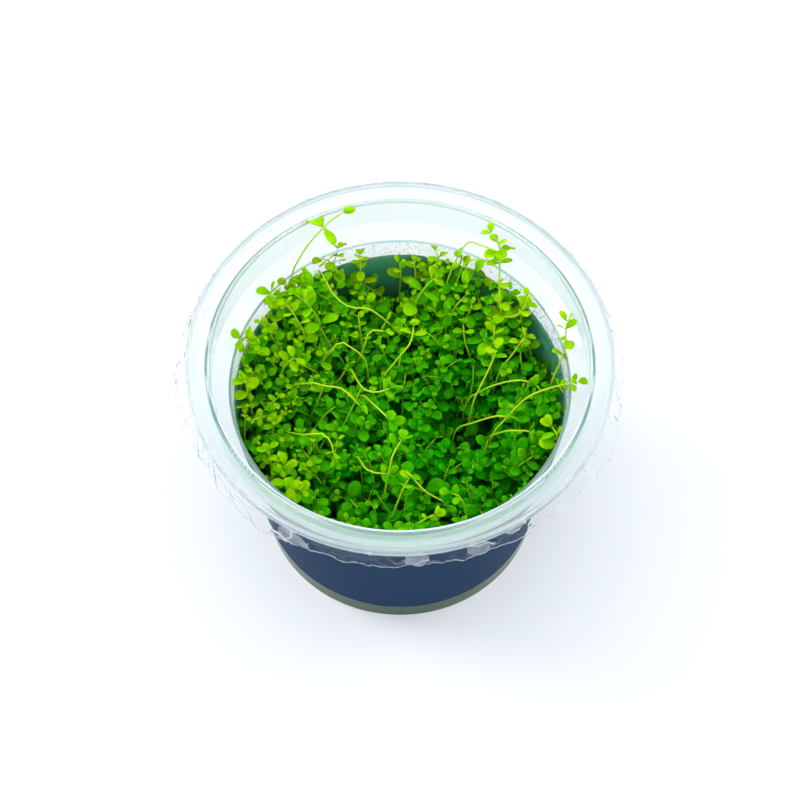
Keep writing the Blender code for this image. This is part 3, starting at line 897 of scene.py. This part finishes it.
def joined_growth(name, growth, blade):
    """One mesh of all a plantlet's leaves and stems, pressed against the wall where they would pass it."""
    corners = np.array([vertex.co for vertex in blade.vertices])
    outline = [tuple(face.vertices) for face in blade.polygons]
    spots, faces, ages_and_painted_shade, flats, looks = [], [], [], [], []
    start = 0
    for leaf in growth.leaves:
        spots.append(shaped_leaf(corners, leaf))
        faces += [tuple(corner + start for corner in face) for face in outline]
        ages_and_painted_shade.append(np.full(len(corners), leaf[-1]))
        flats.append(np.column_stack([corners[:, 0] + 0.5, corners[:, 1]]))
        looks += [LEAF] * len(outline)
        start += len(corners)
    for points, radius, age in growth.stems:
        tube, skin = tube_round(points, radius)
        spots.append(tube)
        faces += [tuple(corner + start for corner in face) for face in skin]
        ages_and_painted_shade.append(1.6 * age + (points[-1].z - tube[:, 2]) / STEM_FADE)
        flats.append(np.full((len(tube), 2), 0.5))
        looks += [STEM] * len(skin)
        start += len(tube)
    spots = kept_inside(np.concatenate(spots))
    ages_and_painted_shade = np.clip(np.concatenate(ages_and_painted_shade), 0, 1)
    mesh = bpy.data.meshes.new(name)
    mesh.from_pydata(spots.tolist(), [], faces)
    # The age attribute carries the leaves' painted shade and light as well as their age
    mesh.attributes.new("age", "FLOAT", "POINT").data.foreach_set("value", ages_and_painted_shade.astype(np.float32))
    corner_of = np.empty(len(mesh.loops), np.int32)
    mesh.loops.foreach_get("vertex_index", corner_of)
    mesh.uv_layers.new(name="blade").data.foreach_set("uv", np.concatenate(flats)[corner_of].ravel())
    mesh.polygons.foreach_set("material_index", np.array(looks, np.int32))
    mesh.shade_smooth()
    piece = bpy.data.objects.new(name, mesh)
    bpy.context.scene.collection.objects.link(piece)
    return piece


def kept_inside(spots):
    """Leaves that would pass the wall lie against it."""
    radius = np.hypot(spots[:, 0], spots[:, 1])
    limit = wall_inside(spots[:, 2]) - WALL_GAP
    share = np.where((radius > limit) & (spots[:, 2] < CUP_HIGH.z), limit / radius, 1.0)
    spots[:, :2] *= share[:, None]
    spots[:, 2] = np.maximum(spots[:, 2], GEL_HIGH.z + GEL_GAP)
    return spots


# Height of a long shoot's foot, and how young its leaves are when its tip is low and when it is high
LONG_FOOT = 26 * MM
TIP_HEIGHTS = (52 * MM, 60 * MM)
TIP_AGES = (0.08, -0.3)
# Long stems that show above the carpet: points in millimetres from the middle of the cup's base, how far down
# each bears leaves, its leaf size and, for two of them, their own tiers
LONG_SHOOTS = (
    (((-27.2, 29.7, 52), (-26.4, 30.5, 60), (-23.3, 33.0, 66), (-20.8, 34.8, 69), (-17.1, 38.0, 71),
      (-13.9, 39.2, 73)), 12, 1.0, RUNNER_TIERS),
    (((11.7, 32.4, 52), (13.6, 34.7, 58), (16.6, 36.4, 64), (19.5, 34.4, 66), (23.5, 32.0, 67)), 1, 0.9),
    (((14.8, 33.4, 54), (15.8, 33.9, 58), (18.4, 33.4, 61), (22.4, 32.2, 62.5)), 1, 0.8),
    (((25.3, 23.3, 50), (24.6, 24.6, 56), (24.5, 29.6, 60), (24.5, 32.1, 62), (24.4, 33.9, 66),
      (22.3, 36.0, 69)), 26, 1.05, STACK_TIERS),
    (((24.7, 22.4, 52), (28.1, 20.2, 56), (30.2, 20.4, 59), (31.1, 22.0, 62)), 7, 1.05),
    (((38.0, 6.0, 54), (39.8, 8.2, 60), (39.8, 10.6, 63), (39.9, 12.4, 66)), 9, 0.95),
    (((25.3, -5.6, 50), (29.2, -3.4, 55), (33.2, -2.3, 58), (39.5, -1.9, 61), (42.0, -2.5, 63)), 6, 1.1),
    (((-35.9, 12.4, 48), (-36.7, 13.1, 54), (-36.6, 13.5, 57), (-38.7, 11.2, 60)), 12, 1.0),
    (((-35.9, -1.4, 42), (-36.8, 1.1, 48), (-37.0, 0.8, 51), (-37.0, 1.6, 55), (-37.6, 1.4, 57)), 8, 1.15),
    (((-25.0, -26.9, 44), (-26.8, -24.5, 52), (-26.2, -25.8, 54)), 8, 1.15),
    (((-17.8, 35.9, 48), (-17.6, 36.4, 56), (-20.0, 37.0, 58)), 10, 0.9),
    (((-16.8, 35.6, 48), (-16.6, 36.4, 55), (-15.4, 38.0, 59)), 10, 0.9),
    (((-9.7, 35.4, 44), (-9.9, 36.2, 52), (-10.0, 37.2, 57)), 14, 0.9),
    (((-0.1, 36.0, 42), (0.2, 36.6, 49), (-0.1, 37.4, 53)), 9, 0.9),
    (((3.4, 34.6, 44), (3.9, 36.2, 50), (3.4, 37.4, 54)), 9, 0.8),
    (((10.2, 36.0, 50), (9.9, 36.7, 55), (8.9, 38.0, 58)), 9, 0.8),
    (((-28.6, 22.8, 50), (-30.4, 24.4, 56), (-31.6, 24.4, 60)), 9, 1.1),
    (((-26.8, 26.1, 52), (-27.9, 28.0, 58)), 9, 1.0),
    (((22.9, 15.3, 48), (23.1, 17.2, 52), (23.3, 18.9, 54)), 6, 1.1),
    (((26.5, 11.2, 50), (28.1, 12.0, 53), (29.4, 12.8, 56), (30.6, 13.6, 57)), 3, 1.1),
    (((19.7, 3.9, 50), (21.3, 6.1, 53), (22.7, 8.3, 56), (23.2, 9.3, 58)), 3, 1.1),
    (((19.5, 3.3, 48), (21.7, 3.0, 51), (25.8, 2.7, 54), (29.5, 2.0, 56), (32.4, 2.2, 54)), 3, 0.9),
    (((16.9, -5.6, 48), (20.6, -6.4, 52), (23.4, -6.7, 54), (26.1, -6.4, 53)), 2, 0.9),
    (((-25.1, -9.4, 50), (-23.0, -11.3, 53), (-20.8, -12.7, 56), (-18.0, -13.4, 57), (-16.2, -15.4, 56),
      (-15.8, -17.2, 52)), 2, 0.9),
    (((-9.2, -17.3, 50), (-8.2, -19.9, 52), (-5.8, -21.6, 53), (-2.4, -21.3, 52)), 2, 1.0),
    (((-30.1, -17.8, 42), (-30.5, -17.5, 45), (-31.1, -16.5, 50), (-31.5, -15.2, 53)), 5, 1.05),
    (((-28.0, -19.6, 44), (-27.4, -18.4, 51)), 5, 1.15),
    (((-7.4, -0.3, 50), (-4.9, -4.5, 53), (-2.0, -8.2, 54)), 3, 1.1),
    (((-2.5, -19.1, 50), (-1.7, -16.7, 53), (0.4, -13.8, 55)), 3, 1.1),
    (((-0.1, -26.1, 49), (0.9, -24.8, 52), (2.3, -23.4, 54)), 3, 1.1),
    (((3.0, -23.2, 54), (4.4, -24.8, 53), (7.0, -26.3, 51), (9.4, -27.0, 50), (10.9, -27.4, 48)), 2, 1.0),
    (((15.6, -28.9, 47), (15.1, -28.3, 50), (13.8, -27.7, 53), (11.9, -27.4, 54)), 3, 1.0),
    (((24.0, -9.2, 50), (25.8, -10.2, 53), (28.0, -11.3, 55), (30.0, -11.3, 55), (32.0, -10.8, 53)), 3, 0.9),
    (((37.5, -17.1, 46), (37.2, -14.9, 52), (37.8, -13.2, 55), (36.2, -10.8, 56)), 8, 1.15),
    (((5.3, -33.7, 52), (6.7, -33.7, 54), (8.0, -33.5, 55)), 3, 0.9),
    (((-18.7, 30.6, 57), (-17.3, 27.4, 57), (-14.9, 24.6, 56), (-11.7, 23.2, 55), (-8.0, 23.0, 55),
      (-5.0, 22.1, 53), (-2.1, 21.1, 50)), 3, 1.0),
    (((-23.0, 3.9, 51), (-20.9, 3.0, 53), (-18.2, 1.6, 54), (-14.5, -0.1, 56), (-12.3, -1.8, 56),
      (-9.4, -3.7, 53)), 2, 1.0),
    (((-11.1, 7.3, 49), (-9.5, 2.7, 52), (-7.8, 0.2, 54), (-5.4, -0.2, 54), (-2.3, 1.6, 53)), 2, 1.0),
    (((-9.4, 14.7, 48), (-8.4, 15.2, 52), (-7.4, 17.1, 54), (-3.5, 17.1, 54)), 1, 0.9),
    (((-1.8, 9.8, 50), (0.4, 11.2, 53), (2.4, 12.8, 55), (3.1, 14.8, 56), (3.3, 16.7, 57)), 3, 1.0),
    (((-13.0, 13.1, 54), (-14.8, 14.0, 54), (-17.0, 12.6, 52), (-18.5, 13.0, 50)), 1, 0.9),
    (((-29.3, 8.1, 48), (-28.5, 8.4, 51), (-26.9, 8.6, 54), (-25.8, 8.9, 55)), 4, 1.0),
)


class CARPET_OT_plantlets(Operator):
    """Grow every plantlet's stems and leaves, each joined in one mesh"""

    bl_idname = "carpet.plantlets"
    bl_label = "Plantlets"

    def execute(self, context):
        plant = context.scene.carpet_plant
        chance = random.Random(plant.seed)
        centres = plantlet_centres()
        growths = [Growth() for _ in PLANTLETS]

        def nearest(x, y):
            return min(range(len(centres)), key=lambda k: (centres[k] - Vector((x, y))).length)

        for spot in shoot_spots(plant, chance):
            self.carpet_shoot(growths[nearest(spot.x, spot.y)], spot, plant, chance)
        for points, reach, vigour, *tiers in LONG_SHOOTS:
            path = [Vector(point) * MM for point in points]
            start = path[0]
            back = (start - path[1]).normalized()
            bend = start + Vector((back.x, back.y, min(back.z, -0.45))) * 3.5 * MM
            dive = bend + Vector((back.x * 2, back.y * 2, -5)) * MM
            foot = Vector((dive.x * 0.94, dive.y * 0.94, LONG_FOOT))
            age = np.interp(path[-1].z, TIP_HEIGHTS, TIP_AGES)
            grow_shoot(growths[nearest(start.x, start.y)], [foot, dive, bend] + path, plant, chance,
                       vigour=vigour, age=age, reach=reach * MM, stem=1.05, least=0.7,
                       tiers=tiers[0] if tiers else TIERS)
        leaf = living_leaf(plant)
        skin = stem_skin(plant)
        blade = leaf_blade()
        for name, growth in zip(PLANTLETS, growths):
            piece = joined_growth(name.replace("plantlet", "growth"), growth, blade)
            piece.data.materials.append(leaf)
            piece.data.materials.append(skin)
            place(piece, "plant", name)
        return {"FINISHED"}

    def carpet_shoot(self, growth, spot, plant, chance):
        """One shoot from the gel to the carpet's top, upright or sprawling at its end."""
        top = canopy(spot.x, spot.y, plant) + chance.triangular(-8, 5, 0) * MM
        turn = chance.uniform(0, math.tau)
        sprawl = chance.choice((0.4, 1.0, 1.6, 3.0, 5.0, 6.0)) * MM
        lean = Vector((math.cos(turn), math.sin(turn), 0)) * sprawl
        tip = Vector((spot.x, spot.y, top))
        foot = Vector((spot.x * 0.84, spot.y * 0.84, GEL_HIGH.z + 1 * MM))
        wander = [Vector((chance.uniform(-1.6, 1.6), chance.uniform(-1.6, 1.6), 0)) * MM for _ in range(2)]
        points = [foot, foot.lerp(tip, 0.45) + wander[0],
                  tip - lean * 1.3 - Vector((0, 0, 9 * MM)) + wander[1],
                  tip - lean * 0.6 - Vector((0, 0, 3 * MM)), tip]
        grow_shoot(growth, points, plant, chance, vigour=chance.uniform(0.74, 1.18),
                   leggy=chance.uniform(0.85, 1.4), age=chance.uniform(0.1, 0.36))


# The floor's side, the sky's colour, and where the two soft lights stand and how wide they are
FLOOR_SIDE = 6.0
SKY_TINT = "#F8FBFF"
KEY_PLACE = (-1.0, 0.3, 0.95)
KEY_SIDE = 0.55
FILL_PLACE = (0.9, 0.3, 1.1)
FILL_SIDE = 0.6
# The camera's place, how many degrees it looks down, and its lens and sensor in millimetres
CAMERA_PLACE = (0, -253.8 * MM, 500.8 * MM)
CAMERA_DOWN = 60.628
CAMERA_LENS = 95.76
CAMERA_SENSOR = 36


class CARPET_OT_stage(Operator):
    """Set the pale floor, the soft light and the camera"""

    bl_idname = "carpet.stage"
    bl_label = "Stage"

    def execute(self, context):
        stage = context.scene.carpet_stage
        deselect_all()
        bpy.ops.mesh.primitive_plane_add(size=FLOOR_SIDE, location=(0, 0, -0.05 * MM))
        floor = bpy.context.object
        floor.name = "studio_floor"
        bpy.ops.object.transform_apply(location=True, rotation=True, scale=True)
        floor.data.materials.append(light_table(stage.floor, stage.glow))
        world = bpy.data.worlds.new("even_sky")
        world.use_nodes = True
        backdrop = world.node_tree.nodes["Background"]
        backdrop.inputs["Color"].default_value = opaque(linear(SKY_TINT))
        backdrop.inputs["Strength"].default_value = stage.sky
        context.scene.world = world
        self.soft_light("key_light", KEY_PLACE, KEY_SIDE, stage.key)
        self.soft_light("fill_light", FILL_PLACE, FILL_SIDE, stage.fill)
        self.camera(context)
        context.scene.view_settings.view_transform = "Standard"
        return {"FINISHED"}

    def soft_light(self, name, where, size, power):
        """A square soft box that faces the cup."""
        bpy.ops.object.light_add(type="AREA", location=where)
        light = bpy.context.object
        light.name = name
        light.data.size = size
        light.data.energy = power
        light.rotation_euler = (-Vector(where)).to_track_quat("-Z", "Y").to_euler()

    def camera(self, context):
        """Looks down on the cup from in front, 60 degrees above the horizon."""
        bpy.ops.object.camera_add(location=CAMERA_PLACE, rotation=(math.radians(90 - CAMERA_DOWN), 0, 0))
        camera = bpy.context.object
        camera.data.lens = CAMERA_LENS
        camera.data.sensor_width = CAMERA_SENSOR
        context.scene.camera = camera


class CARPET_PT_panel(Panel):
    """Lists the pieces in the 3D view's sidebar"""

    bl_label = "Carpet Plant"
    bl_idname = "CARPET_PT_panel"
    bl_space_type = "VIEW_3D"
    bl_region_type = "UI"
    bl_category = "Carpet Plant"

    def draw(self, context):
        for operator in OPERATORS:
            self.layout.operator(operator.bl_idname)


OPERATORS = (CARPET_OT_cup, CARPET_OT_label, CARPET_OT_gel, CARPET_OT_condensation, CARPET_OT_film,
             CARPET_OT_plantlets, CARPET_OT_stage)
SETTINGS = {"carpet_cup": CarpetCupSettings, "carpet_film": CarpetFilmSettings,
            "carpet_plant": CarpetPlantSettings, "carpet_stage": CarpetStageSettings}


def register():
    for kind in (*SETTINGS.values(), *OPERATORS, CARPET_PT_panel):
        bpy.utils.register_class(kind)
    for name, kind in SETTINGS.items():
        setattr(bpy.types.Scene, name, PointerProperty(type=kind))


def unregister():
    for name in SETTINGS:
        delattr(bpy.types.Scene, name)
    for kind in (CARPET_PT_panel, *reversed(OPERATORS), *SETTINGS.values()):
        bpy.utils.unregister_class(kind)


def main():
    register()
    bpy.ops.carpet.cup()
    bpy.ops.carpet.label()
    bpy.ops.carpet.gel()
    bpy.ops.carpet.condensation()
    bpy.ops.carpet.film()
    bpy.ops.carpet.plantlets()
    bpy.ops.carpet.stage()


if __name__ == "__main__":
    main()
